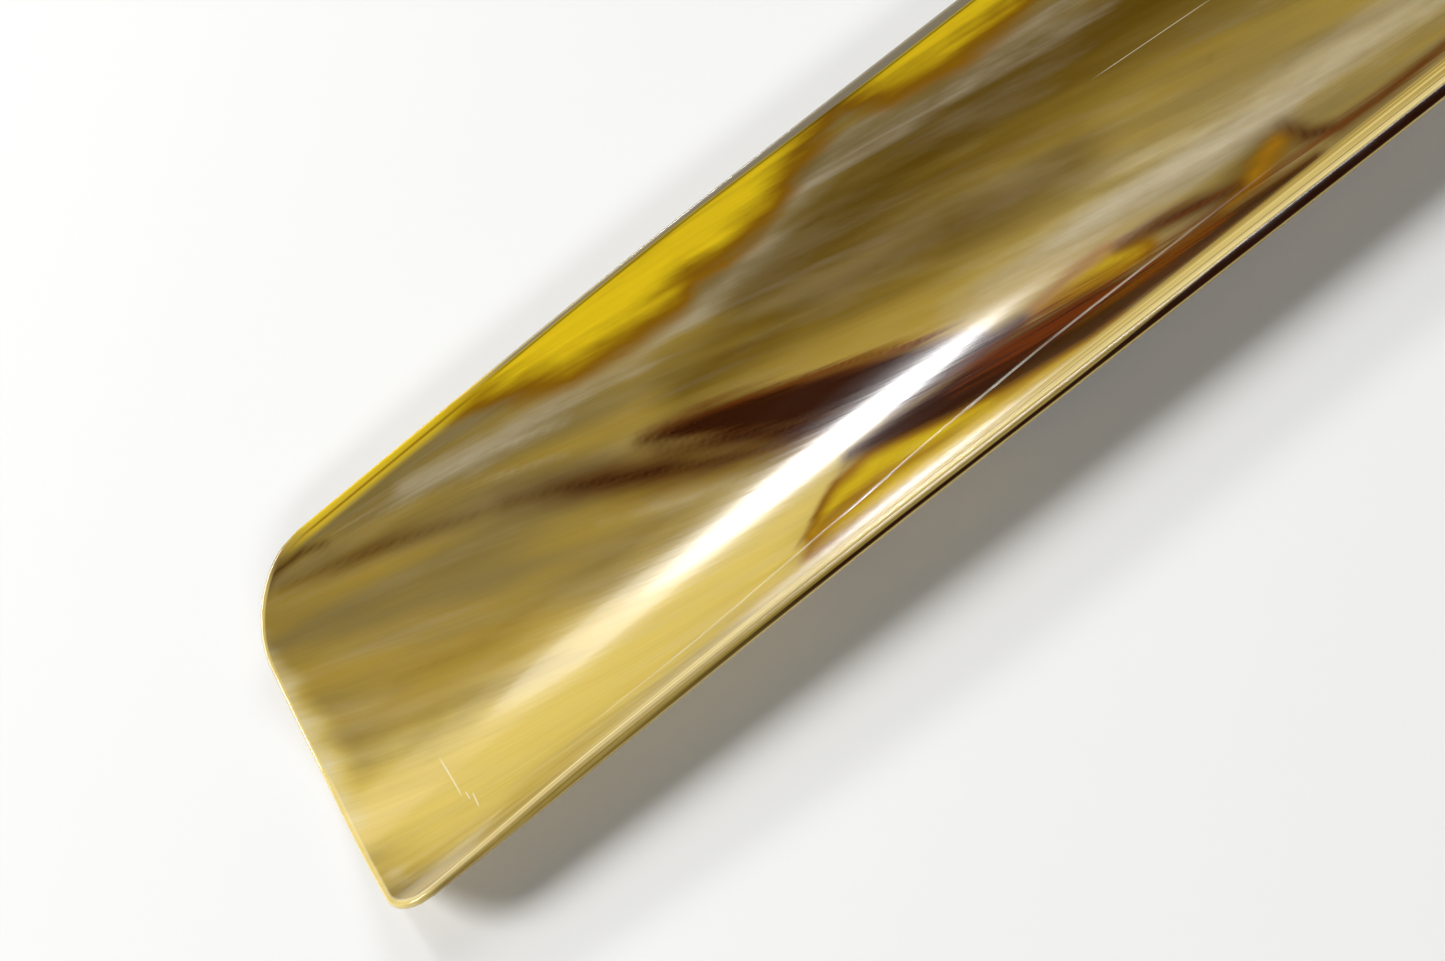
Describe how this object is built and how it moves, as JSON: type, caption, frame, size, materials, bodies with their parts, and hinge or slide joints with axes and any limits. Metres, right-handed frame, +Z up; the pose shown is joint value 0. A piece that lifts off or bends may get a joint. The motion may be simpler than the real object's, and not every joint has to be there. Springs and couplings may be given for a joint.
{
  "type": "shoehorn",
  "caption": "Long ox-horn shoehorn: a curved, tapering trough with a squared, round-cornered tip, and a hanging ring in a brass eyelet at its rounded handle end.",
  "frame": {"origin": "on the resting plane under the back, at the middle of the overall length and width", "axes": "+X from the tip to the handle end, +Y to the side with the rounder tip corner, +Z up out of the hollow"},
  "size_m": [0.3109, 0.046, 0.0226],
  "materials": {
    "polished_horn": "polished translucent ox horn, streaked olive, yellow and dark brown",
    "brass": "polished"
  },
  "bodies": {
    "shoehorn": {"horn_blade": "polished_horn", "eyelet": "brass", "eyelet_washer": "brass"},
    "ring": {"hanging_ring": "brass"}
  },
  "joints": [
    {"name": "ring_swing", "type": "hinge", "parent": "shoehorn", "child": "ring", "pos_m": [0.1345, 0, 0.0116], "axis": [0, 0, 1], "range_deg": [-100, 100]}
  ]
}
